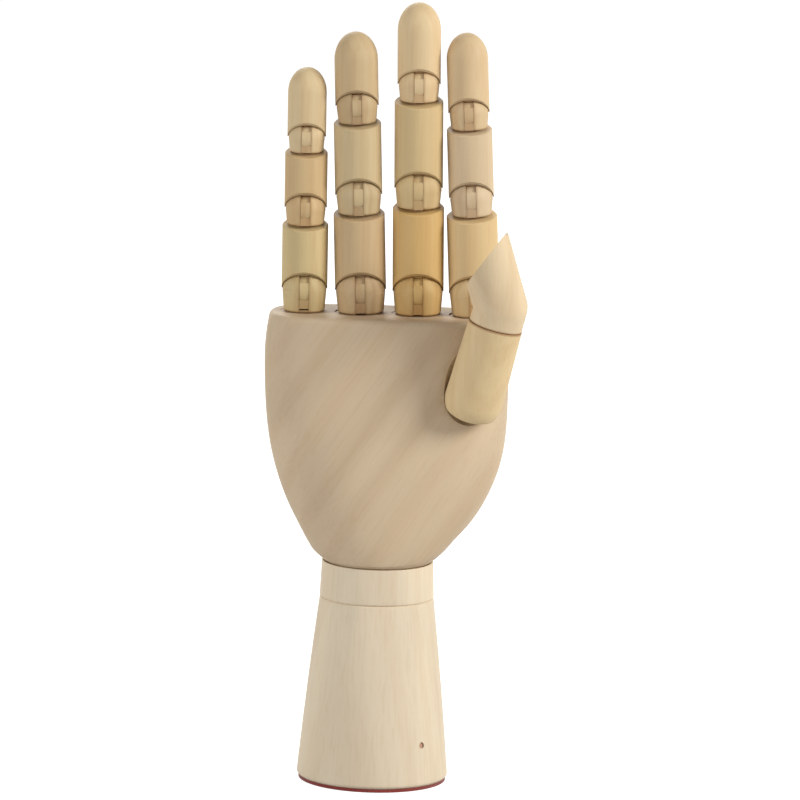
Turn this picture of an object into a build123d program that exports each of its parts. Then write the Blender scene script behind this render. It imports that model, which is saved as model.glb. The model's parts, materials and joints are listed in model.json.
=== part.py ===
from build123d import *
import os
from math import atan2, cos, degrees, pi, radians, sin, sqrt, tan

# Wooden hand mannequin: a right hand with jointed fingers and thumb, on a turned forearm.
# Millimetres and degrees. The origin is the centre of the base's underside, +Z is up,
# +X is the thumb side and -Y is the palm side.

# Forearm and its felt
base_radius = 29.0
forearm_top_radius = 21.8
forearm_bulge = 0.3
forearm_length = 69.8
base_edge_round = 1.4
seam_chamfer = 0.5
felt_radius = 28.2
felt_thickness = 1.2

# Collar
collar_length = 14.0
collar_bottom_radius = 21.9
collar_top_radius = 21.3
collar_lip = 0.7
collar_hole_radius = 4.0

# Palm
palm_height = 96.0
palm_half_width = 46.5
palm_half_depth = 24.0
palm_shift = 2.4
shelf_round = 2.6
wrist_ball_radius = 35.0
wrist_reach = 18.0

# Fingers, in order from the little finger to the index
finger_pitch = 21.7
row_shift = 1.9
little_lean = -0.6
little_proximal_length = 31.1
little_intermediate_length = 27.2
little_distal_length = 26.6
little_proximal_radius = 8.75
little_intermediate_radius = 8.1
little_distal_radius = 7.35
ring_lean = -2.6
ring_proximal_length = 36.6
ring_intermediate_length = 34.2
ring_distal_length = 28.3
ring_proximal_radius = 9.75
ring_intermediate_radius = 9.0
ring_distal_radius = 8.25
middle_lean = -1.3
middle_proximal_length = 39.7
middle_intermediate_length = 39.9
middle_distal_length = 31.2
middle_proximal_radius = 9.75
middle_intermediate_radius = 9.25
middle_distal_radius = 8.2
index_lean = -3.3
index_proximal_length = 36.7
index_intermediate_length = 32.6
index_distal_length = 30.6
index_proximal_radius = 9.65
index_intermediate_radius = 8.6
index_distal_radius = 7.85

# Joints, the same in every finger
knuckle_step = 0.45
barrel_taper = 0.92
base_knuckle_step = 0.3
base_rise = 8.6
seat_share = 0.79
seat_slope = 11.0
arch_slope = 40.0
heel_share = 0.46
finger_bend = 70.0
tongue_step = 1.0
tongue_thickness = 3.4
neck_share = 0.38
dome_share = 1.3
bezier_share = 0.5523
rim_chamfer = 0.4
foot_round = 1.2
spigot_share = 0.55
base_spigot_share = 0.44
spigot_length = 7.0
base_spigot_length = 12.0
pin_radius = 1.0
pin_inset = 0.6

# Thumb
thumb_radius = 10.15
thumb_root_radius = 11.2
thumb_root_x = 35.0
thumb_root_y = -22.0
thumb_root_height = 67.5
thumb_lean = 13.5
thumb_forward = 15.0
thumb_proximal_length = 39.6
thumb_foot_depth = 8.6
thumb_foot_radius = 17.0
thumb_distal_length = 30.3
thumb_bend = 29.0
thumb_tip_side = 5.6
thumb_tip_height = 27.2
thumb_face_low = 6.6
thumb_face_side = 13.9
thumb_sight = 12.0
thumb_pad_turn = 0.0
thumb_pin_stop = 9.4
thumb_tip_bend = 50.0
thumb_pull = 30.0
thumb_tongue_thickness = 4.0
thumb_neck_width = 5.8
thumb_stem_radius = 3.55
thumb_root_tongue = 7.9
thumb_bore_depth = 24.0
thumb_swing_in = 25.0
thumb_swing_out = 40.0
fan_relief = 0.15

# Wrist hook-up, hidden inside
spring_bore_radius = 6.0
spring_bore_floor = 11.0
spring_radius = 5.2
spring_wire = 1.2
anchor_height = 17.2
anchor_radius = 1.2
anchor_inset = 0.3
anchor_turn = -47.0
hook_radius = 3.0
hook_wire = 1.0
swivel_radius = 1.2
swivel_head_radius = 3.0
plate_thickness = 2.0
eye_radius = 3.6
link_radius = 4.5
eye_wire = 0.9
eye_offset = 0.9
eye_shank = 12.0
chamber_margin = 1.1

# Fits
running_gap = 0.3
slot_gap = 0.13
joint_gap = 0.15
seam_gap = 0.3
pin_fit = 0.02
pin_play = 0.06
spigot_fit = 0.03
seat_gap = 0.1
overrun = 1.0
block_span = 120.0

# Heights worked out from the sizes above
forearm_top = felt_thickness + forearm_length
collar_top = forearm_top + collar_length
shelf_height = collar_top + palm_height
dish_radius = wrist_ball_radius + running_gap
dish_rim_radius = collar_top_radius - collar_lip
wrist_height = collar_top + sqrt(dish_radius**2 - dish_rim_radius**2)

CENTRED = (Align.CENTER, Align.CENTER, Align.CENTER)
RISING = (Align.CENTER, Align.CENTER, Align.MIN)
HANGING = (Align.CENTER, Align.CENTER, Align.MAX)
BEHIND = (Align.CENTER, Align.MAX, Align.MAX)
AHEAD = (Align.CENTER, Align.MIN, Align.CENTER)


def block_below(height, tilt):
    """Everything below a plane at this height that tilts about X."""
    return Location((0, 0, height), (tilt, 0, 0)) * Box(block_span, block_span, block_span, align=HANGING)


def block_above(height, tilt):
    """Everything above a plane at this height that tilts about X."""
    return Location((0, 0, height), (tilt, 0, 0)) * Box(block_span, block_span, block_span, align=RISING)


def rod(radius, low, high):
    """A round rod on the Z axis between two heights."""
    return Pos(0, 0, low) * Cylinder(radius, high - low, align=RISING)


def turned(profile):
    """A solid turned about Z from its outline in the XZ plane."""
    return revolve(Plane.XZ * make_face(profile), Axis.Z)


def cross_rod(radius, length):
    """A round rod on the X axis, centred."""
    return Rot(0, 90, 0) * Cylinder(radius, length, align=CENTRED)


# Finger joints. The joint's centre is the origin, the pin lies on X, and -Y is the palm side.

def ball_radius(upper_radius):
    return upper_radius - knuckle_step


def tongue_radius(upper_radius):
    return ball_radius(upper_radius) - tongue_step


def seat_drop(upper_radius):
    return upper_radius * seat_share


def heel_start(upper_radius):
    """Where the back of a knuckle's barrel ends and the heel of the segment above begins."""
    return ball_radius(upper_radius) * heel_share


def slot(upper_radius, thickness):
    """The space that the tongue turns in, open to the top and to the palm side."""
    ball = ball_radius(upper_radius)
    reach = tongue_radius(upper_radius) + joint_gap
    width = thickness + slot_gap + slot_gap
    back = ball * neck_share + joint_gap
    front = upper_radius + overrun
    opening = Box(width, front + back, reach + front, align=(Align.CENTER, Align.MIN, Align.MIN))
    return Pos(0, -front, -reach) * opening + cross_rod(reach, width)


def knuckle(upper_radius, barrel, drop, slope, heel, spigot_radius, spigot_depth):
    """The slotted barrel with its round back and top, and the spigot that holds it below."""
    ball = ball_radius(upper_radius)
    body = Cone(barrel * barrel_taper, barrel, drop, align=HANGING) - block_below(-drop, slope)
    body = fillet(body.faces().sort_by(Axis.Z)[0].edges(), foot_round)
    body = body - Pos(0, heel, 0) * Box(block_span, block_span, block_span, align=AHEAD)
    body = body + (Sphere(ball) - block_below(-drop, slope))
    spigot = rod(spigot_radius, -drop - spigot_depth, -drop + overrun)
    bore = cross_rod(pin_radius + pin_fit, barrel + barrel + overrun)
    return body + spigot - slot(upper_radius, tongue_thickness) - bore


def finger_knuckle(upper_radius):
    """A knuckle that is seated on the finger segment below it."""
    ball = ball_radius(upper_radius)
    drop = seat_drop(upper_radius)
    heel = heel_start(upper_radius)
    return knuckle(upper_radius, ball, drop, seat_slope, heel, ball * spigot_share, spigot_length)


def base_knuckle(upper_radius):
    """A knuckle that stands on the palm's shelf, nearly as wide as its finger."""
    barrel = upper_radius - base_knuckle_step
    spigot_radius = ball_radius(upper_radius) * base_spigot_share
    heel = heel_start(upper_radius)
    return knuckle(upper_radius, barrel, base_rise, 0, heel, spigot_radius, base_spigot_length)


def tongue(upper_radius):
    """The round tongue with its neck, which turns in the knuckle's slot."""
    ball = ball_radius(upper_radius)
    half_neck = ball * neck_share
    neck = Box(tongue_thickness, half_neck + half_neck, ball + overrun, align=RISING)
    hole = cross_rod(pin_radius + pin_play, tongue_thickness + overrun)
    return cross_rod(tongue_radius(upper_radius), tongue_thickness) + neck - hole


def socket(upper_radius, barrel, drop, slope, heel, bend):
    """What is cut from the lower end of a segment so that it can bend round its knuckle."""
    swung = Rot(-bend, 0, 0) * Cylinder(barrel + joint_gap, block_span, align=HANGING)
    arch = Rot(-arch_slope, 0, 0) * Box(block_span, block_span, block_span, align=BEHIND)
    front = Pos(0, heel + running_gap, 0) * Box(block_span, block_span, block_span, align=BEHIND)
    seam = block_below(-drop + seam_gap, slope)
    return Sphere(ball_radius(upper_radius) + joint_gap) + swung + arch + front + seam


def finger_socket(radius):
    ball = ball_radius(radius)
    return socket(radius, ball, seat_drop(radius), seat_slope, heel_start(radius), finger_bend)


def base_socket(radius):
    barrel = radius - base_knuckle_step
    return socket(radius, barrel, base_rise, 0, heel_start(radius), finger_bend)


def pin(upper_radius):
    half_length = ball_radius(upper_radius) - pin_inset
    return cross_rod(pin_radius, half_length + half_length)


def seat(length, upper_radius):
    """What is cut from the top of a segment to seat the next knuckle and hold its spigot."""
    height = length - seat_drop(upper_radius)
    bore = ball_radius(upper_radius) * spigot_share + spigot_fit
    return block_above(height, seat_slope) + rod(bore, height - spigot_length - running_gap, height + overrun)


def segment(radius, length, upper_radius, cut):
    """A finger segment with its tongue below and the seat of the next knuckle above."""
    body = rod(radius, -radius - radius, length) - block_above(length - seat_drop(upper_radius), seat_slope)
    body = chamfer(body.faces().sort_by(Axis.Z)[-1].edges(), rim_chamfer)
    return body - cut - seat(length, upper_radius) + tongue(radius)


def fingertip(radius, length):
    """The domed distal segment."""
    dome = radius * dome_share
    shoulder = length - dome
    pull = bezier_share
    side = Polyline((0, length), (0, -radius), (radius, -radius), (radius, shoulder))
    top = Bezier((radius, shoulder), (radius, shoulder + dome * pull), (radius * pull, length), (0, length))
    body = turned(side + top)
    return body - finger_socket(radius) + tongue(radius)


# Forearm, felt and collar

def forearm_radius(height):
    """Radius of the straight taper, without its bulge."""
    return base_radius + (forearm_top_radius - base_radius) * height / forearm_length


def make_forearm():
    middle = forearm_length / 2
    flank = ThreePointArc(
        (base_radius, 0), (forearm_radius(middle) + forearm_bulge, middle), (forearm_top_radius, forearm_length)
    )
    inside = Polyline((forearm_top_radius, forearm_length), (0, forearm_length), (0, 0), (base_radius, 0))
    body = turned(flank + inside)
    body = fillet(body.faces().sort_by(Axis.Z)[0].edges(), base_edge_round)
    body = chamfer(body.faces().sort_by(Axis.Z)[-1].edges(), seam_chamfer)
    body = Pos(0, 0, felt_thickness) * body
    body = body - rod(spring_bore_radius, spring_bore_floor, forearm_top + overrun)
    return body - anchor(anchor_radius + pin_fit, base_radius)


def anchor(radius, half_length):
    lying = Rot(0, 0, anchor_turn) * cross_rod(radius, half_length + half_length)
    return Pos(0, 0, anchor_height) * lying


def make_anchor_pin():
    return anchor(anchor_radius, forearm_radius(anchor_height) - anchor_inset)


def make_base_felt():
    return rod(felt_radius, 0, felt_thickness)


def make_collar():
    body = Cone(collar_bottom_radius, collar_top_radius, collar_length, align=RISING)
    body = chamfer(body.faces().sort_by(Axis.Z)[0].edges(), seam_chamfer)
    body = Pos(0, 0, forearm_top) * body
    hole = rod(collar_hole_radius, forearm_top - overrun, collar_top)
    return body - Pos(0, 0, wrist_height) * Sphere(dish_radius) - hole


# Wrist hook-up

spring_foot = anchor_height + hook_radius + anchor_radius
spring_top = forearm_top - spring_radius - plate_thickness
eye_height = wrist_height - link_radius - eye_offset


def ring_about_y(radius, height):
    return Pos(0, 0, height) * (Rot(90, 0, 0) * Torus(radius, eye_wire))


def make_wrist_spring():
    """The coil's closed outline, with the hook that holds it on the anchor pin."""
    lift = hook_radius - hook_wire - anchor_radius - running_gap
    across = Rot(0, 0, anchor_turn) * (Rot(0, 90, 0) * Torus(hook_radius, hook_wire))
    hook = Pos(0, 0, anchor_height + lift) * across
    shank = rod(hook_wire, anchor_height + lift + hook_radius, spring_foot + plate_thickness)
    floor = rod(spring_radius, spring_foot, spring_foot + plate_thickness)
    wall = rod(spring_radius, spring_foot, spring_top)
    inside = rod(spring_radius - spring_wire, spring_foot + plate_thickness, spring_top + overrun)
    return hook + shank + floor + (wall - inside)


def make_spring_cap():
    disc = rod(spring_radius, spring_top, spring_top + plate_thickness)
    return disc - rod(swivel_radius + pin_play, spring_top - overrun, forearm_top)


def make_swivel_hook():
    """A headed wire that turns in the spring's cap and ends in an eye."""
    head_top = spring_top - running_gap
    head = rod(swivel_head_radius, head_top - plate_thickness, head_top)
    stem = rod(swivel_radius, head_top - plate_thickness, eye_height - eye_radius)
    return head + stem + ring_about_y(eye_radius, eye_height)


def make_link_ring():
    return Pos(0, 0, wrist_height) * (Rot(0, 90, 0) * Torus(link_radius, eye_wire))


def make_screw_eye():
    height = wrist_height + link_radius + eye_offset
    shank = rod(swivel_radius, height + eye_radius, height + eye_radius + eye_shank)
    return shank + ring_about_y(eye_radius, height)


# Palm

height_shares = (-0.09, 0.0, 0.05, 0.094, 0.15, 0.22, 0.32, 0.44, 0.58, 0.74, 0.90, 1.0)
width_shares = (0.45, 0.478, 0.56, 0.625, 0.70, 0.785, 0.878, 0.95, 0.987, 1.0, 0.995, 0.965)
depth_shares = (0.84, 0.90, 0.955, 0.98, 0.995, 1.0, 1.0, 0.985, 0.95, 0.905, 0.86, 0.84)
shift_shares = (0.0, 0.0, 0.2, 0.4, 0.65, 0.85, 1.0, 1.0, 0.8, 0.6, 0.54, 0.54)
squareness_shares = (0.0, 0.0, 0.0, 0.05, 0.1, 0.2, 0.35, 0.5, 0.7, 0.85, 1.0, 1.0)
round_power = 2.0
square_power = 2.9
outline_points = 24


def superellipse(half_width, half_depth, power, shift, height):
    """A closed outline between an ellipse and a rounded rectangle."""
    points = []
    for step in range(outline_points):
        angle = 2 * pi * step / outline_points
        across = abs(cos(angle)) ** (2 / power)
        along = abs(sin(angle)) ** (2 / power)
        side = 1 if cos(angle) >= 0 else -1
        face = 1 if sin(angle) >= 0 else -1
        points.append((shift + side * half_width * across, face * half_depth * along, height))
    return make_face(Spline(*points, periodic=True))


def palm_blank():
    """The flattened egg, with a ball at its lower end."""
    sections = []
    for row, height_share in enumerate(height_shares):
        power = round_power + (square_power - round_power) * squareness_shares[row]
        sections.append(
            superellipse(
                palm_half_width * width_shares[row],
                palm_half_depth * depth_shares[row],
                power,
                palm_shift * shift_shares[row],
                collar_top + palm_height * height_share,
            )
        )
    blank = loft(sections)
    blank = fillet(blank.faces().sort_by(Axis.Z)[-1].edges(), shelf_round)
    ball = Pos(0, 0, wrist_height) * Sphere(wrist_ball_radius)
    ball_top = collar_top + palm_height * height_shares[3]
    return blank - (block_below(ball_top, 0) - ball)


def wrist_hollow():
    """The chamber round the link, and the cone that clears the swivel's stem as the palm tilts."""
    chamber_radius = eye_offset + link_radius + eye_radius + eye_wire + chamber_margin
    wall = swivel_radius + running_gap + running_gap
    mouth = wall + wrist_ball_radius * tan(radians(wrist_reach))
    cone = Cone(mouth, wall, wrist_ball_radius, align=HANGING)
    chamber = Pos(0, 0, wrist_height) * (Sphere(chamber_radius) + cone)
    top = wrist_height + link_radius + eye_offset + eye_radius + eye_shank
    return chamber + rod(swivel_radius + pin_fit, wrist_height, top + pin_fit)


# Fingers

fingers = {
    "little": (
        little_lean,
        (little_proximal_length, little_intermediate_length, little_distal_length),
        (little_proximal_radius, little_intermediate_radius, little_distal_radius),
    ),
    "ring": (
        ring_lean,
        (ring_proximal_length, ring_intermediate_length, ring_distal_length),
        (ring_proximal_radius, ring_intermediate_radius, ring_distal_radius),
    ),
    "middle": (
        middle_lean,
        (middle_proximal_length, middle_intermediate_length, middle_distal_length),
        (middle_proximal_radius, middle_intermediate_radius, middle_distal_radius),
    ),
    "index": (
        index_lean,
        (index_proximal_length, index_intermediate_length, index_distal_length),
        (index_proximal_radius, index_intermediate_radius, index_distal_radius),
    ),
}


def finger_frame(place, lean):
    """The finger's own frame: its origin is on the shelf and its Z axis runs up the finger."""
    offset = row_shift + (place - (len(fingers) - 1) / 2) * finger_pitch
    turn = radians(lean)
    return Plane(origin=(offset, 0, shelf_height), x_dir=(cos(turn), 0, -sin(turn)), z_dir=(sin(turn), 0, cos(turn)))


def make_finger(name, frame, lengths, radii):
    """The nine pieces of a finger, placed on the shelf."""
    proximal_height = base_rise + seat_gap
    middle_height = proximal_height + lengths[0]
    tip_height = middle_height + lengths[1]
    base = frame.location * Pos(0, 0, proximal_height)
    middle = frame.location * Pos(0, 0, middle_height)
    tip = frame.location * Pos(0, 0, tip_height)
    return {
        name + "_base_knuckle": base * base_knuckle(radii[0]),
        name + "_base_pin": base * pin(radii[0]),
        name + "_proximal": base * segment(radii[0], lengths[0], radii[1], base_socket(radii[0])),
        name + "_middle_knuckle": middle * finger_knuckle(radii[1]),
        name + "_middle_pin": middle * pin(radii[1]),
        name + "_intermediate": middle * segment(radii[1], lengths[1], radii[2], finger_socket(radii[1])),
        name + "_tip_knuckle": tip * finger_knuckle(radii[2]),
        name + "_tip_pin": tip * pin(radii[2]),
        name + "_distal": tip * fingertip(radii[2], lengths[2]),
    }


def finger_seat(frame, radius):
    """The spot face and the bore that a base knuckle turns in."""
    spot = rod(radius + running_gap, 0, overrun + overrun)
    bore_radius = ball_radius(radius) * base_spigot_share + pin_play
    bore = rod(bore_radius, -base_spigot_length - running_gap, overrun)
    return frame.location * (spot + bore)


# Thumb. Its root frame has Z along the thumb and Y into the palm, with the root pin on X.

thumb_root = Vector(thumb_root_x, thumb_root_y, collar_top + thumb_root_height)
thumb_axis = Vector(
    sin(radians(thumb_lean)) * cos(radians(thumb_forward)),
    -sin(radians(thumb_forward)),
    cos(radians(thumb_lean)) * cos(radians(thumb_forward)),
)
thumb_inward = Vector(-sin(radians(thumb_pull)), cos(radians(thumb_pull)), 0)
root_pin_axis = thumb_inward.cross(thumb_axis).normalized()
thumb_outward = root_pin_axis.cross(thumb_inward)
root_frame = Plane(origin=thumb_root, x_dir=root_pin_axis, z_dir=thumb_axis).location
stem_frame = Plane(origin=thumb_root, x_dir=root_pin_axis, z_dir=thumb_inward).location

# The thumb's bend lies in its broad frame, with Y to the outer side of the hand. Its pared face
# is square to the paring frame, whose X points at the palm side. The tip joint has the same
# origin, with Z along the thumb.
broad_axis = thumb_axis.cross(Vector(1, 0, 0)).normalized()
thumb_joint = thumb_root + thumb_axis * thumb_proximal_length
broad_frame = Plane(origin=thumb_joint, x_dir=-broad_axis, z_dir=thumb_axis).location
sight = Vector(0, -cos(radians(thumb_sight)), sin(radians(thumb_sight)))
paring_axis = sight.cross(thumb_axis.cross(sight)).normalized()
paring_frame = Plane(origin=thumb_joint, x_dir=sight, z_dir=paring_axis).location
pad_side = Vector(-sin(radians(thumb_pad_turn)), cos(radians(thumb_pad_turn)), 0)
tip_pin_axis = thumb_axis.cross(pad_side).normalized()
tip_frame = Plane(origin=thumb_joint, x_dir=tip_pin_axis, z_dir=thumb_axis).location


def thumb_foot():
    """The shallow dome that flattens the thumb's lower end."""
    dome = Pos(0, 0, thumb_foot_radius - thumb_foot_depth) * Sphere(thumb_foot_radius)
    return block_below(0, 0) - dome


def ball_ended(radius, end_radius, length):
    """A tapering rod on Z whose lower end is a ball about the origin."""
    ball = CenterArc((0, 0), radius, -90, 90)
    side = Polyline((radius, 0), (end_radius, length), (0, length), (0, -radius))
    return turned(ball + side)


def make_thumb_root():
    """The dowel in the palm, which ends in a round tongue inside the thumb."""
    disc = cross_rod(thumb_root_tongue, thumb_tongue_thickness)
    seat_reach = thumb_root_radius + running_gap
    neck = Box(thumb_tongue_thickness, thumb_neck_width, seat_reach + overrun, align=RISING)
    stem = rod(thumb_stem_radius, 0, thumb_bore_depth) - Sphere(seat_reach)
    hole = cross_rod(pin_radius + pin_play, thumb_tongue_thickness + overrun)
    return stem_frame * (disc + neck + stem - hole)


def root_pin_rod(radius, reach):
    """A rod along the root pin, from its closed end towards the palm side to this reach."""
    return Pos(-thumb_pin_stop, 0, 0) * (Rot(0, 90, 0) * Cylinder(radius, thumb_pin_stop + reach, align=RISING))


def make_thumb_root_pin():
    return root_frame * root_pin_rod(pin_radius, thumb_root_radius - pin_inset)


def make_thumb_proximal():
    """The thumb's first segment, with a ball at its lower end slotted for the root's tongue."""
    reach = thumb_root_tongue + running_gap
    width = thumb_tongue_thickness + slot_gap + slot_gap
    edge = thumb_root_radius + overrun
    corner = (Align.CENTER, Align.MIN, Align.MAX)
    opening = Pos(0, -overrun, overrun) * Box(width, edge + overrun, edge + overrun, align=corner)
    hole = root_pin_rod(pin_radius + pin_fit, edge)
    body = ball_ended(thumb_root_radius, thumb_radius, thumb_proximal_length) - thumb_foot()
    body = root_frame * (body - opening - cross_rod(reach, width) - hole)
    low_frame = tip_frame * Pos(0, 0, -thumb_proximal_length)
    return body - low_frame * seat(thumb_proximal_length, thumb_radius)


def thumb_paring():
    """Everything on the finger side of the oblique face that points the thumb's tip."""
    width = thumb_face_side - thumb_tip_side
    tilt = degrees(atan2(width, thumb_tip_height - thumb_face_low))
    edge = Location((0, -thumb_tip_side, thumb_tip_height), (90 - tilt, 0, 0))
    return edge * Box(block_span, block_span, block_span, align=RISING)


def make_thumb_distal():
    """The bent distal piece, pared away on its finger side to a pointed tip."""
    lower = rod(thumb_radius, -thumb_radius - thumb_radius, 0)
    leaning = Rot(thumb_bend, 0, 0) * rod(thumb_radius, 0, thumb_distal_length + thumb_radius)
    body = broad_frame * (lower + Sphere(thumb_radius) + leaning) - paring_frame * thumb_paring()
    ball = ball_radius(thumb_radius)
    cut = socket(thumb_radius, ball, seat_drop(thumb_radius), seat_slope, 0, thumb_tip_bend)
    return body - tip_frame * cut + tip_frame * tongue(thumb_radius)


def make_thumb_knuckle():
    ball = ball_radius(thumb_radius)
    drop = seat_drop(thumb_radius)
    return tip_frame * knuckle(thumb_radius, ball, drop, seat_slope, 0, ball * spigot_share, spigot_length)


def thumb_recess():
    """The room that the thumb sweeps as it swings in the palm, a fan with a ball-ended rod at each side."""
    low_radius = thumb_root_radius + running_gap
    high_radius = thumb_radius + running_gap
    fan_low = low_radius + fan_relief
    fan_high = high_radius + fan_relief
    lean = thumb_axis.get_angle(thumb_inward) - 90
    tangent = Vector(sin(radians(lean)), cos(radians(lean)))
    along = Vector(cos(radians(lean)), -sin(radians(lean)))
    start = tangent * fan_low
    end = along * thumb_proximal_length + tangent * fan_high
    ball = CenterArc((0, 0), fan_low, 90 - lean, lean)
    side = Polyline((0, fan_low), (0, -block_span), (end.X, -block_span), (end.X, end.Y), (start.X, start.Y))
    outline = Plane(origin=thumb_root, x_dir=thumb_outward, z_dir=-root_pin_axis) * make_face(ball + side)
    swing_axis = Axis(thumb_root, thumb_inward)
    fan = revolve(outline.rotate(swing_axis, -thumb_swing_in), swing_axis, thumb_swing_in + thumb_swing_out)
    edge = root_frame * ball_ended(low_radius, high_radius, thumb_proximal_length)
    return fan, edge.rotate(swing_axis, -thumb_swing_in), edge.rotate(swing_axis, thumb_swing_out)


def make_palm(frames):
    bore = rod(thumb_stem_radius + pin_play, 0, thumb_bore_depth + running_gap)
    body = palm_blank() - wrist_hollow() - stem_frame * bore
    for sweep in thumb_recess():
        body = body - sweep
    for name, frame in frames.items():
        body = body - finger_seat(frame, fingers[name][2][0])
    return body


def make_parts():
    frames = {}
    for place, (name, finger) in enumerate(fingers.items()):
        frames[name] = finger_frame(place, finger[0])
    parts = {
        "forearm": make_forearm(),
        "base_felt": make_base_felt(),
        "anchor_pin": make_anchor_pin(),
        "wrist_spring": make_wrist_spring(),
        "spring_cap": make_spring_cap(),
        "collar": make_collar(),
        "swivel_hook": make_swivel_hook(),
        "link_ring": make_link_ring(),
        "screw_eye": make_screw_eye(),
        "palm": make_palm(frames),
        "thumb_root": make_thumb_root(),
        "thumb_root_pin": make_thumb_root_pin(),
        "thumb_proximal": make_thumb_proximal(),
        "thumb_knuckle": make_thumb_knuckle(),
        "thumb_pin": tip_frame * pin(thumb_radius),
        "thumb_distal": make_thumb_distal(),
    }
    for name, finger in fingers.items():
        parts.update(make_finger(name, frames[name], finger[1], finger[2]))
    return parts


os.makedirs("parts", exist_ok=True)
for node, shape in make_parts().items():
    export_step(shape, "parts/" + node + ".step")
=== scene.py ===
"""Looks of the wooden hand mannequin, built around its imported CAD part.

Metres, in the part's own frame: the origin is the centre of the base's underside, +Z is up,
+X is the thumb side and -Y is the palm side.
"""

import json
from collections import namedtuple
from math import atan2, cos, pi, radians, sin, sqrt

import bmesh
import bpy
from mathutils import Matrix, Quaternion, Vector


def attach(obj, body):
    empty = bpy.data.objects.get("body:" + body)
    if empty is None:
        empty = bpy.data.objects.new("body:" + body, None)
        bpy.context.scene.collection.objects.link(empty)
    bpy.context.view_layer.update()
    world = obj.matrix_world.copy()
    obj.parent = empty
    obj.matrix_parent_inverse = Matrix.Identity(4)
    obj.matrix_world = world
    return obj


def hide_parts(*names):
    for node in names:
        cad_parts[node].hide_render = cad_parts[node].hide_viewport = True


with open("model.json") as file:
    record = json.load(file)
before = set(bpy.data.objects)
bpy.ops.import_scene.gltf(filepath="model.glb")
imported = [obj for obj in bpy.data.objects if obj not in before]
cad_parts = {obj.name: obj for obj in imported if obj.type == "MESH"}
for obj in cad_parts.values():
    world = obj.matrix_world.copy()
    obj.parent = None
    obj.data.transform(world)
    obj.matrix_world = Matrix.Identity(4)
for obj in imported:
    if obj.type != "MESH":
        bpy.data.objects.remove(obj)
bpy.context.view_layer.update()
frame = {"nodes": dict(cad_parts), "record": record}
bodies = frame["record"]["behaviour"]["bodies"]
joints = {joint["name"]: joint for joint in frame["record"]["behaviour"]["joints"]}

MM = 0.001
palm_side = Vector((0, -1, 0))

# The view: a long lens a little above the hand, which leans slightly to the right
view_centre = Vector((6.85 * MM, 0, 147.4 * MM))
view_width = 305.4 * MM
view_elevation = radians(10)
view_lean = radians(1.6)
lens = 400.0
sensor = 36.0
clip_near_share = 0.1
clip_far_share = 10

# The white room
floor_reach = 6.0
floor_drop = 0.0002
floor_grey = (0.5, 0.5, 0.5, 1)
floor_glow = 0.85
room_light = 0.30
white = (1, 1, 1, 1)

# Edges
merge_distance = 0.002 * MM
flat_angle = radians(0.4)
sharp_angle = radians(28)
worn_edge = 0.22 * MM
worn_edge_steps = 2
thumb_edge = 0.4 * MM
thumb_tip_worn = 1.0 * MM

# The small ledge low on the palm's thumb side: where it is, how deep, and how far the sanding goes
ledge_height = 94.02 * MM
ledge_radius = 28.97 * MM
ledge_depth = 1.07 * MM
ledge_rise = 10.0 * MM
ledge_angle = radians(24)
ledge_tolerance = 0.001

# Knuckles. A pin ends one step inside its ball, the ball lies one step inside the segment above it,
# and the barrel of a base knuckle is one step wider than its ball.
pin_step = 0.6 * MM
ball_step = 0.45 * MM
base_knuckle_step = 0.15 * MM
barrel_taper = 0.92

# The arch above each knuckle, and the seam below it: its drop as a share of the segment's radius
arch_slope = radians(40)
seam_slope = radians(11)
seam_share = 0.79
base_rise = 8.6 * MM
thumb_seam_drop = 8.0 * MM

# The tongue that nearly fills each knuckle's slot, and the notch in it under the arch
tongue_width = 3.46 * MM
tongue_step = 0.16 * MM
tongue_steps = 96
notch_angle = radians(34)
notch_reach = radians(9.5)
notch_depth = 0.60

# The wood at the foot of each slot
foot_width = 3.58 * MM
foot_gap = 0.05 * MM
foot_step = 0.30 * MM
foot_rise = 1.45 * MM
foot_top_share = 0.42
foot_steps = 12

# Colours
cream = (0.700, 0.590, 0.435, 1)
pink_beige = (0.570, 0.445, 0.300, 1)
thumb_high = (0.660, 0.520, 0.335, 1)
thumb_low = (0.630, 0.480, 0.270, 1)
finger_tints = {
    "little": ((0.557, 0.431, 0.221, 1), (0.540, 0.385, 0.200, 1), (0.590, 0.455, 0.265, 1)),
    "ring": ((0.480, 0.345, 0.190, 1), (0.510, 0.395, 0.225, 1), (0.510, 0.380, 0.215, 1)),
    "middle": ((0.554, 0.370, 0.146, 1), (0.543, 0.404, 0.208, 1), (0.627, 0.473, 0.274, 1)),
    "index": ((0.620, 0.455, 0.235, 1), (0.570, 0.440, 0.280, 1), (0.606, 0.450, 0.262, 1)),
}
tongue_tint_share = 0.96
plug_colour = (0.520, 0.330, 0.230, 1)
felt_colour = (0.200, 0.022, 0.014, 1)
steel_colour = (0.480, 0.470, 0.450, 1)

# Wood figure: the shade of each layer and how strong it is
light_share = 1.04
dark_share = 0.93
ring_shade = (0.74, 0.56, 0.42, 1)
streak_shade = (0.86, 0.74, 0.62, 1)
streak_amount = 0.20
pore_shade = (0.70, 0.54, 0.40, 1)
pore_amount = 0.16
pore_relief = 0.6
streak_relief = 0.4
# The tint of the painted shade laid along seams, slot edges and holes
painted_shade_tint = (0.50, 0.31, 0.19, 1)

# How far in mm before and past a pin a band of painted shade fades in that keeps to the palm side
front_fade = (-0.5, 1.5)

# What sets one piece of wood apart from the next, in mm: its place in the plank and in the rings
plank_steps = (37.0, 23.0, 71.0)
heart_aside = 18
heart_behind = 30

# A wave texture of scale 1 repeats after this length
wave_length = pi / 10


# Materials


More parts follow.
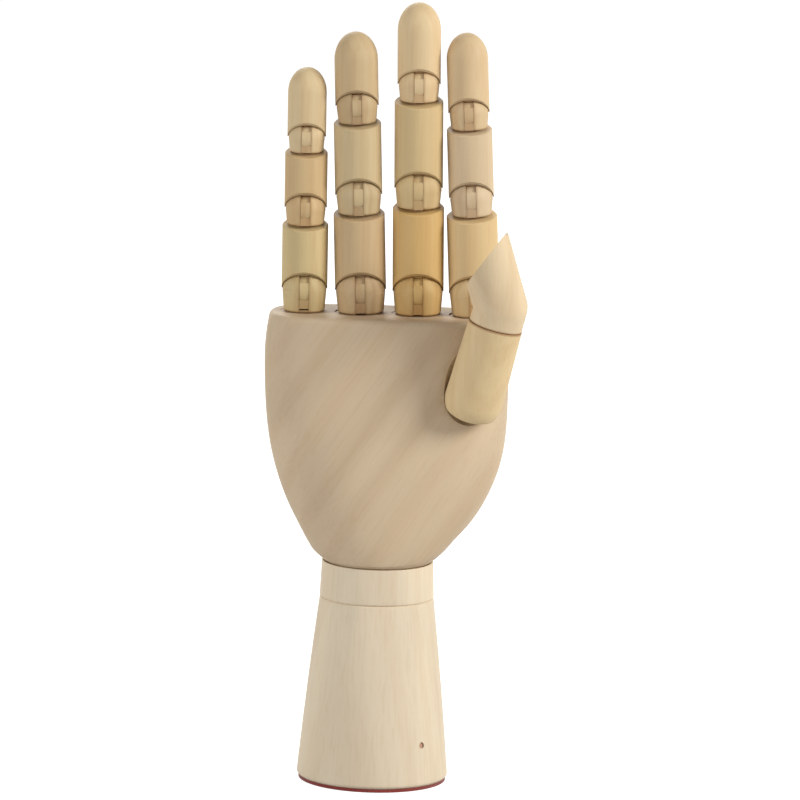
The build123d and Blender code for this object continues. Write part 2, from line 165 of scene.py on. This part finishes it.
class Signal:
    """A shader socket that takes part in arithmetic."""

    def __init__(self, finish, socket):
        self.finish = finish
        self.socket = socket

    def __add__(self, other):
        return self.finish.maths("ADD", self, other)

    def __radd__(self, other):
        return self.finish.maths("ADD", other, self)

    def __sub__(self, other):
        return self.finish.maths("SUBTRACT", self, other)

    def __rsub__(self, other):
        return self.finish.maths("SUBTRACT", other, self)

    def __mul__(self, other):
        return self.finish.maths("MULTIPLY", self, other)

    def __rmul__(self, other):
        return self.finish.maths("MULTIPLY", other, self)


class Finish:
    """A material, or the world, whose nodes are added one by one."""

    def __init__(self, name, library=bpy.data.materials):
        self.material = library.new(name)
        self.material.use_nodes = True
        self.tree = self.material.node_tree
        self.tree.nodes.clear()

    def add(self, kind, settings, inputs, output=0):
        """A node of this kind, its settings first and then its sockets' values or links."""
        node = self.tree.nodes.new(kind)
        for name, value in settings.items():
            setattr(node, name, value)
        for name, value in inputs.items():
            if isinstance(value, Signal):
                self.tree.links.new(value.socket, node.inputs[name])
            else:
                node.inputs[name].default_value = value
        return Signal(self, node.outputs[output]) if node.outputs else None

    def maths(self, operation, first, second):
        return self.add("ShaderNodeMath", {"operation": operation}, {0: first, 1: second})

    def between(self, value, low, high):
        """0 below low, 1 above high and a smooth rise between them."""
        settings = {"interpolation_type": "SMOOTHSTEP"}
        return self.add("ShaderNodeMapRange", settings, {"Value": value, "From Min": low, "From Max": high})

    def mixed(self, amount, first, second):
        """The first colour where the amount is 0, the second where it is 1."""
        inputs = {"Factor": amount, 6: first, 7: second}
        return self.add("ShaderNodeMix", {"data_type": "RGBA"}, inputs, output=2)

    def shaded(self, colour, amount, shade):
        """The colour multiplied by a shade, as far as the amount says."""
        settings = {"data_type": "RGBA", "blend_type": "MULTIPLY"}
        return self.add("ShaderNodeMix", settings, {"Factor": amount, 6: colour, 7: shade}, output=2)

    def place(self, turn=(0, 0, 0), shift=(0, 0, 0), along=1):
        """Object coordinates in mm, shifted and turned, that run slower along Z where along is under 1."""
        here = self.add("ShaderNodeTexCoord", {}, {}, output="Object")
        inputs = {
            "Vector": here,
            "Rotation": turn,
            "Location": tuple(value * MM for value in shift),
            "Scale": (MM, MM, MM / along),
        }
        return self.add("ShaderNodeMapping", {"vector_type": "TEXTURE"}, inputs)

    def beyond(self, point, direction):
        """How far in mm the surface lies past a plane through this point."""
        here = self.add("ShaderNodeTexCoord", {}, {}, output="Object")
        offset = self.add("ShaderNodeVectorMath", {"operation": "SUBTRACT"}, {0: here, 1: point})
        inputs = {0: offset, 1: direction / MM}
        return self.add("ShaderNodeVectorMath", {"operation": "DOT_PRODUCT"}, inputs, output="Value")

    def noise(self, where, scale, detail, distortion=0.0):
        inputs = {"Vector": where, "Scale": scale, "Detail": detail, "Distortion": distortion}
        return self.add("ShaderNodeTexNoise", {}, inputs)

    def rings(self, where, period, bend):
        """Year rings this many mm apart, bent by a noise."""
        settings = {"wave_type": "RINGS", "rings_direction": "Z", "wave_profile": "SIN"}
        inputs = {
            "Vector": where,
            "Scale": wave_length / period,
            "Distortion": bend,
            "Detail": 2.0,
            "Detail Scale": 0.6 / period,
            "Detail Roughness": 0.45,
        }
        return self.add("ShaderNodeTexWave", settings, inputs)

    def seen(self):
        """1 where the camera looks, straight or by way of a reflection or a glass."""
        camera = self.add("ShaderNodeLightPath", {}, {}, output="Is Camera Ray")
        glossy = self.add("ShaderNodeLightPath", {}, {}, output="Is Glossy Ray")
        through = self.add("ShaderNodeLightPath", {}, {}, output="Is Transmission Ray")
        return self.maths("MAXIMUM", camera, self.maths("MAXIMUM", glossy, through))

    def close(self, surface_inputs):
        shader = self.add("ShaderNodeBsdfPrincipled", {}, surface_inputs)
        self.add("ShaderNodeOutputMaterial", {}, {"Surface": shader})
        return self.material


# A band of painted shade on both sides of a plane, where a seam, a slot's edge or a hole falls in shade. It
# fades between two distances in mm.
PaintedShade = namedtuple("PaintedShade", "point direction near far amount in_front", defaults=(True,))


def scaled(colour, amount):
    return tuple(channel * amount for channel in colour[:3]) + (1,)


def with_painted_shade(finish, tone, painted_shade_bands):
    """The wood's tone with each band of painted shade laid over it."""
    for band in painted_shade_bands:
        gap = finish.maths("ABSOLUTE", finish.beyond(band.point, band.direction), 0.0)
        mask = (1.0 - finish.between(gap, band.near, band.far)) * band.amount
        if band.in_front:
            mask = mask * finish.between(finish.beyond(band.point, palm_side), *front_fade)
        tone = finish.shaded(tone, mask, painted_shade_tint)
    return tone


def wood(name, colour, seed, figure, period=6.0, slant=0.0, bend=6.0, painted_shade_bands=()):
    """Sanded, unvarnished wood with its grain along Z, or slanted to one side.

    The figure is how strong its rings are, and the period how far apart they lie in mm. The bands lay
    painted shade over it at seams, slot edges and holes.
    """
    finish = Finish(name)
    turn = (0, slant, 0)
    shift = tuple(seed * step for step in plank_steps)
    heart = (heart_aside + seed % 5, heart_behind + seed % 7, shift[2])
    broad = finish.noise(finish.place(turn, shift, along=0.12), scale=0.045, detail=2.0, distortion=0.4)
    rings = finish.rings(finish.place(turn, heart, along=0.16), period, bend)
    streaks = finish.noise(finish.place(turn, shift, along=0.03), scale=0.9, detail=4.0)
    pores = finish.noise(finish.place(turn, shift, along=0.05), scale=4.0, detail=2.0)
    pore_mask = finish.between(pores, low=0.62, high=0.72)
    lightness = finish.between(broad, low=0.32, high=0.70)
    tone = finish.mixed(lightness, scaled(colour, light_share), scaled(colour, dark_share))
    tone = finish.shaded(tone, finish.between(rings, low=0.35, high=1.0) * figure, ring_shade)
    tone = finish.shaded(tone, finish.between(streaks, low=0.46, high=0.70) * streak_amount, streak_shade)
    tone = finish.shaded(tone, pore_mask * pore_amount, pore_shade)
    height = 1.0 - pore_mask * pore_relief - streaks * streak_relief
    relief = finish.add("ShaderNodeBump", {}, {"Strength": 0.25, "Distance": 0.05 * MM, "Height": height})
    return finish.close({
        # The wood's tone with the bands of painted shade laid over it
        "Base Color": with_painted_shade(finish, tone, painted_shade_bands),
        "Roughness": 0.52 + streaks * 0.20,
        "Normal": relief,
        "Specular IOR Level": 0.35,
    })


def felt(name):
    finish = Finish(name)
    fibres = finish.noise(finish.place(), scale=2.6, detail=5.0, distortion=1.2)
    density = finish.between(fibres, low=0.35, high=0.68)
    tone = finish.mixed(density, scaled(felt_colour, 0.7), scaled(felt_colour, 1.5))
    relief = finish.add("ShaderNodeBump", {}, {"Strength": 0.8, "Distance": 0.15 * MM, "Height": fibres})
    return finish.close({"Base Color": tone, "Roughness": 0.95, "Normal": relief, "Sheen Weight": 0.4})


def steel(name):
    finish = Finish(name)
    scratches = finish.noise(finish.place(along=0.2), scale=6.0, detail=4.0)
    tone = finish.mixed(scratches, scaled(steel_colour, 0.8), scaled(steel_colour, 1.1))
    return finish.close({"Base Color": tone, "Metallic": 1.0, "Roughness": 0.28 + scratches * 0.2})


# Pieces


def as_piece(shape, name, material):
    """An object of this shape, smooth but for its sharp edges."""
    mesh = bpy.data.meshes.new(name)
    shape.to_mesh(mesh)
    shape.free()
    mesh.materials.append(material)
    mesh.shade_smooth()
    mesh.set_sharp_from_angle(angle=sharp_angle)
    piece = bpy.data.objects.new(name, mesh)
    bpy.context.scene.collection.objects.link(piece)
    return piece


def body_of(node):
    """The name of the body that this node belongs to."""
    return next(body for body, nodes in bodies.items() if node in nodes)


def eased(shape):
    """The small ledge low on the palm's thumb side, sanded away into the slope above it."""
    for vert in shape.verts:
        rise = (vert.co.z - ledge_height) / ledge_rise
        reach = vert.co.xy.length
        aside = 1 - (atan2(vert.co.y, vert.co.x) / ledge_angle) ** 2
        if -ledge_tolerance < rise < 1 and aside > 0 and reach > ledge_radius:
            inward = min(reach - ledge_radius, ledge_depth * aside * (1 - rise) ** 2)
            vert.co.xy *= (reach - inward) / reach
    bmesh.ops.dissolve_degenerate(shape, dist=merge_distance, edges=shape.edges)


def blunted(shape):
    """The sharp top of the thumb, taken off flat."""
    top = max(vert.co.z for vert in shape.verts) - thumb_tip_worn
    whole = shape.verts[:] + shape.edges[:] + shape.faces[:]
    cut = bmesh.ops.bisect_plane(
        shape, geom=whole, plane_co=(0, 0, top), plane_no=(0, 0, 1), clear_outer=True
    )
    rim = [part for part in cut["geom_cut"] if isinstance(part, bmesh.types.BMEdge)]
    bmesh.ops.holes_fill(shape, edges=rim)


def finished(node, material, edge_width=worn_edge, reshaped=None):
    """A copy of a CAD node, merged and smoothed, with its sharp edges a little rounded off."""
    shape = bmesh.new()
    shape.from_mesh(frame["nodes"][node].data)
    bmesh.ops.remove_doubles(shape, verts=shape.verts, dist=merge_distance)
    bmesh.ops.dissolve_limit(
        shape, angle_limit=flat_angle, verts=shape.verts, edges=shape.edges, use_dissolve_boundaries=False
    )
    if reshaped:
        reshaped(shape)
    piece = as_piece(shape, node + "_piece", material)
    edge = piece.modifiers.new("worn_edge", "BEVEL")
    edge.width = edge_width
    edge.segments = worn_edge_steps
    edge.limit_method = "ANGLE"
    edge.angle_limit = sharp_angle
    edge.harden_normals = True
    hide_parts(node)
    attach(piece, body_of(node))


# A knuckle's centre, the direction of its pin and the way up the finger
Hinge = namedtuple("Hinge", "centre side up")


def finger_hinge(name):
    joint = joints[name]
    side = Vector(joint["axis"])
    return Hinge(Vector(joint["pos_m"]), side, side.cross(Vector((0, 1, 0))))


def thumb_hinge():
    centre = Vector(joints["thumb_tip_bend"]["pos_m"])
    root = Vector(joints["thumb_swing"]["pos_m"])
    return Hinge(centre, -Vector(joints["thumb_tip_bend"]["axis"]), (centre - root).normalized())


def sloping(hinge, slope):
    """Square to a plane that lies across the finger and slopes down to the palm side."""
    return hinge.up * cos(slope) - hinge.up.cross(hinge.side) * sin(slope)


def half_length(node, hinge):
    """Half of a pin's length."""
    return max(abs((vert.co - hinge.centre).dot(hinge.side)) for vert in frame["nodes"][node].data.vertices)


def tongue_face(name, body, hinge, radius, material):
    """The round tongue that fills a knuckle's slot nearly flush, with a notch under the arch."""
    shape = bmesh.new()
    ends = bmesh.ops.create_cone(
        shape, cap_ends=True, segments=tongue_steps, radius1=radius, radius2=radius, depth=tongue_width
    )
    for vert in ends["verts"]:
        turn = atan2(vert.co.y, vert.co.x)
        if abs(turn - notch_angle) < notch_reach:
            vert.co.xy *= notch_depth
    axes = Matrix((palm_side, hinge.up, palm_side.cross(hinge.up))).transposed().to_4x4()
    bmesh.ops.transform(shape, verts=shape.verts, matrix=Matrix.Translation(hinge.centre) @ axes)
    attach(as_piece(shape, name, material), body)


def slot_foot(name, body, hinge, ball, barrel, drop, material):
    """The wood of the slot below its tongue, between the tongue's round and the barrel's front."""
    round_radius = ball - tongue_step + foot_gap
    low = ball - foot_rise
    high = ball * foot_top_share
    outer = []
    inner = []
    for step in range(foot_steps + 1):
        down = high + (low - high) * step / foot_steps
        front = barrel * (1 - (1 - barrel_taper) * down / drop) - foot_step
        outer.append(hinge.centre - hinge.up * down + palm_side * front)
        inner.append(hinge.centre - hinge.up * down + palm_side * sqrt(round_radius**2 - down**2))
    shape = bmesh.new()
    outline = [shape.verts.new(point - hinge.side * (foot_width / 2)) for point in outer + inner[::-1]]
    cheek = shape.faces.new(outline)
    grown = bmesh.ops.extrude_face_region(shape, geom=[cheek], use_keep_orig=True)
    moved = [part for part in grown["geom"] if isinstance(part, bmesh.types.BMVert)]
    bmesh.ops.translate(shape, verts=moved, vec=hinge.side * foot_width)
    bmesh.ops.recalc_face_normals(shape, faces=shape.faces)
    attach(as_piece(shape, name, material), body)


def finger_joint(finger, joint, below, above, tint, seed):
    """A knuckle, the segment above it, and the tongue and the foot in the knuckle's slot."""
    below = finger + "_" + below
    above = finger + "_" + above
    hinge = finger_hinge(finger + "_" + joint + "_bend")
    ball = half_length(finger + "_" + joint + "_pin", hinge) + pin_step
    if joint == "base":
        barrel = ball + base_knuckle_step
        drop = base_rise
        seam_direction = hinge.up
    else:
        barrel = ball
        drop = (ball + ball_step) * seam_share
        seam_direction = sloping(hinge, seam_slope)
    # Bands of painted shade: along the slot's edges and the seam below the knuckle, along the arch's edge,
    # and in the dark notch at the top of the slot
    slot_edge = PaintedShade(hinge.centre, hinge.side, near=1.9, far=2.9, amount=0.40)
    seam_place = hinge.centre - hinge.up * drop
    seam = PaintedShade(seam_place, seam_direction, near=0.15, far=1.1, amount=0.55, in_front=False)
    arch = PaintedShade(hinge.centre, sloping(hinge, arch_slope), near=0.30, far=1.5, amount=0.75)
    notch_place = hinge.centre + hinge.up * (ball * sin(notch_angle))
    notch = PaintedShade(notch_place, hinge.up, near=0.55, far=1.0, amount=0.9)

    below_wood = wood(below + "_wood", tint, seed=seed, figure=0.22, period=4.0, painted_shade_bands=(slot_edge, seam))
    above_wood = wood(above + "_wood", tint, seed=seed + 1, figure=0.12, painted_shade_bands=(arch,))
    # The notch is a hole in shade, so its band of painted shade is laid on twice
    tongue_wood = wood(
        above + "_tongue_wood", scaled(tint, tongue_tint_share), seed=seed + 5, figure=0.25, period=4.0,
        painted_shade_bands=(notch, notch),
    )

    finished(below, below_wood)
    slot_foot(below + "_slot", body_of(below), hinge, ball, barrel, drop, below_wood)
    finished(above, above_wood)
    tongue_face(above + "_tongue", body_of(above), hinge, ball - tongue_step, tongue_wood)


forearm_wood = wood("forearm_wood", cream, seed=3, figure=0.10, period=8.0)
collar_wood = wood("collar_wood", cream, seed=5, figure=0.10, period=8.0)
palm_wood = wood("palm_wood", pink_beige, seed=7, figure=0.15, period=15.0, slant=radians(34), bend=9.0)
finished("forearm", forearm_wood)
finished("collar", collar_wood)
finished("palm", palm_wood, reshaped=eased)

thumb = thumb_hinge()
# A band of painted shade along the seam between the two thumb pieces
thumb_seam_place = thumb.centre - thumb.up * thumb_seam_drop
thumb_seam_direction = sloping(thumb, seam_slope)
thumb_seam = PaintedShade(thumb_seam_place, thumb_seam_direction, near=0.25, far=1.0, amount=0.75, in_front=False)
thumb_low_wood = wood("thumb_proximal_wood", thumb_low, seed=11, figure=0.12, painted_shade_bands=(thumb_seam,))
thumb_high_wood = wood("thumb_distal_wood", thumb_high, seed=12, figure=0.12, painted_shade_bands=(thumb_seam,))
finished("thumb_proximal", thumb_low_wood, edge_width=thumb_edge)
finished("thumb_distal", thumb_high_wood, edge_width=thumb_edge, reshaped=blunted)
finished("thumb_knuckle", wood("thumb_knuckle_wood", thumb_low, seed=13, figure=0.12))
finished("thumb_root", wood("thumb_root_wood", thumb_low, seed=14, figure=0.12))

finger_joints = (
    ("base", "base_knuckle", "proximal"),
    ("middle", "middle_knuckle", "intermediate"),
    ("tip", "tip_knuckle", "distal"),
)
seed = 20
for finger, tints in finger_tints.items():
    for (joint, below, above), tint in zip(finger_joints, tints):
        seed += 2
        finger_joint(finger, joint, below, above, tint, seed)

# The small pieces keep their CAD shapes
steel_wire = steel("steel_wire")
wire_pieces = ("wrist_spring", "spring_cap", "swivel_hook", "link_ring", "screw_eye")
small_pieces = {node: steel_wire for node in frame["nodes"] if node.endswith("_pin") or node in wire_pieces}
small_pieces["base_felt"] = felt("base_felt")
small_pieces["anchor_pin"] = wood("plug_end_grain", plug_colour, seed=17, figure=0.2)
for node, material in small_pieces.items():
    for slot in frame["nodes"][node].material_slots:
        slot.material = material


# Floor, lamps and camera


def floor_paint():
    """White to the camera, apart from the hand's own shadow."""
    finish = Finish("floor_white")
    matt = finish.add("ShaderNodeBsdfDiffuse", {}, {"Color": floor_grey})
    glow = finish.add("ShaderNodeEmission", {}, {"Color": white, "Strength": finish.seen() * floor_glow})
    both = finish.add("ShaderNodeAddShader", {}, {0: matt, 1: glow})
    finish.add("ShaderNodeOutputMaterial", {}, {"Surface": both})
    return finish.material


floor_shape = bmesh.new()
bmesh.ops.create_grid(floor_shape, x_segments=1, y_segments=1, size=floor_reach)
bmesh.ops.translate(floor_shape, verts=floor_shape.verts, vec=(0, 0, -floor_drop))
as_piece(floor_shape, "floor", floor_paint())


def lamp(name, place, size, watts, tint=(1, 1, 1)):
    """A round lamp that points at the middle of the view."""
    light = bpy.data.lights.new(name, "AREA")
    light.shape = "DISK"
    light.size = size
    light.energy = watts
    light.color = tint
    holder = bpy.data.objects.new(name, light)
    holder.location = place
    holder.rotation_mode = "QUATERNION"
    holder.rotation_quaternion = (view_centre - Vector(place)).to_track_quat("-Z", "Y")
    bpy.context.scene.collection.objects.link(holder)


lamp("key", place=(1.5, -0.72, 0.95), size=0.8, watts=33.0, tint=(1.0, 0.99, 0.965))
lamp("fill", place=(-1.4, -0.85, 0.45), size=1.1, watts=14.0)
lamp("back", place=(-0.3, 1.3, 1.0), size=0.8, watts=10.0)

air = Finish("white_room", bpy.data.worlds)
brightness = room_light + air.seen() * (1 - room_light)
sky = air.add("ShaderNodeBackground", {}, {"Color": white, "Strength": brightness})
air.add("ShaderNodeOutputWorld", {}, {"Surface": sky})
bpy.context.scene.world = air.material

camera = bpy.data.cameras.new("camera")
camera.lens = lens
camera.sensor_width = sensor
camera_distance = view_width * lens / sensor
camera.clip_start = camera_distance * clip_near_share
camera.clip_end = camera_distance * clip_far_share
eye = bpy.data.objects.new("camera", camera)
towards_eye = Vector((0, -cos(view_elevation), sin(view_elevation)))
eye.location = view_centre + towards_eye * camera_distance
eye.rotation_mode = "QUATERNION"
eye.rotation_quaternion = (-towards_eye).to_track_quat("-Z", "Y") @ Quaternion((0, 0, 1), view_lean)
bpy.context.scene.collection.objects.link(eye)
bpy.context.scene.camera = eye
bpy.context.scene.view_settings.view_transform = "Standard"
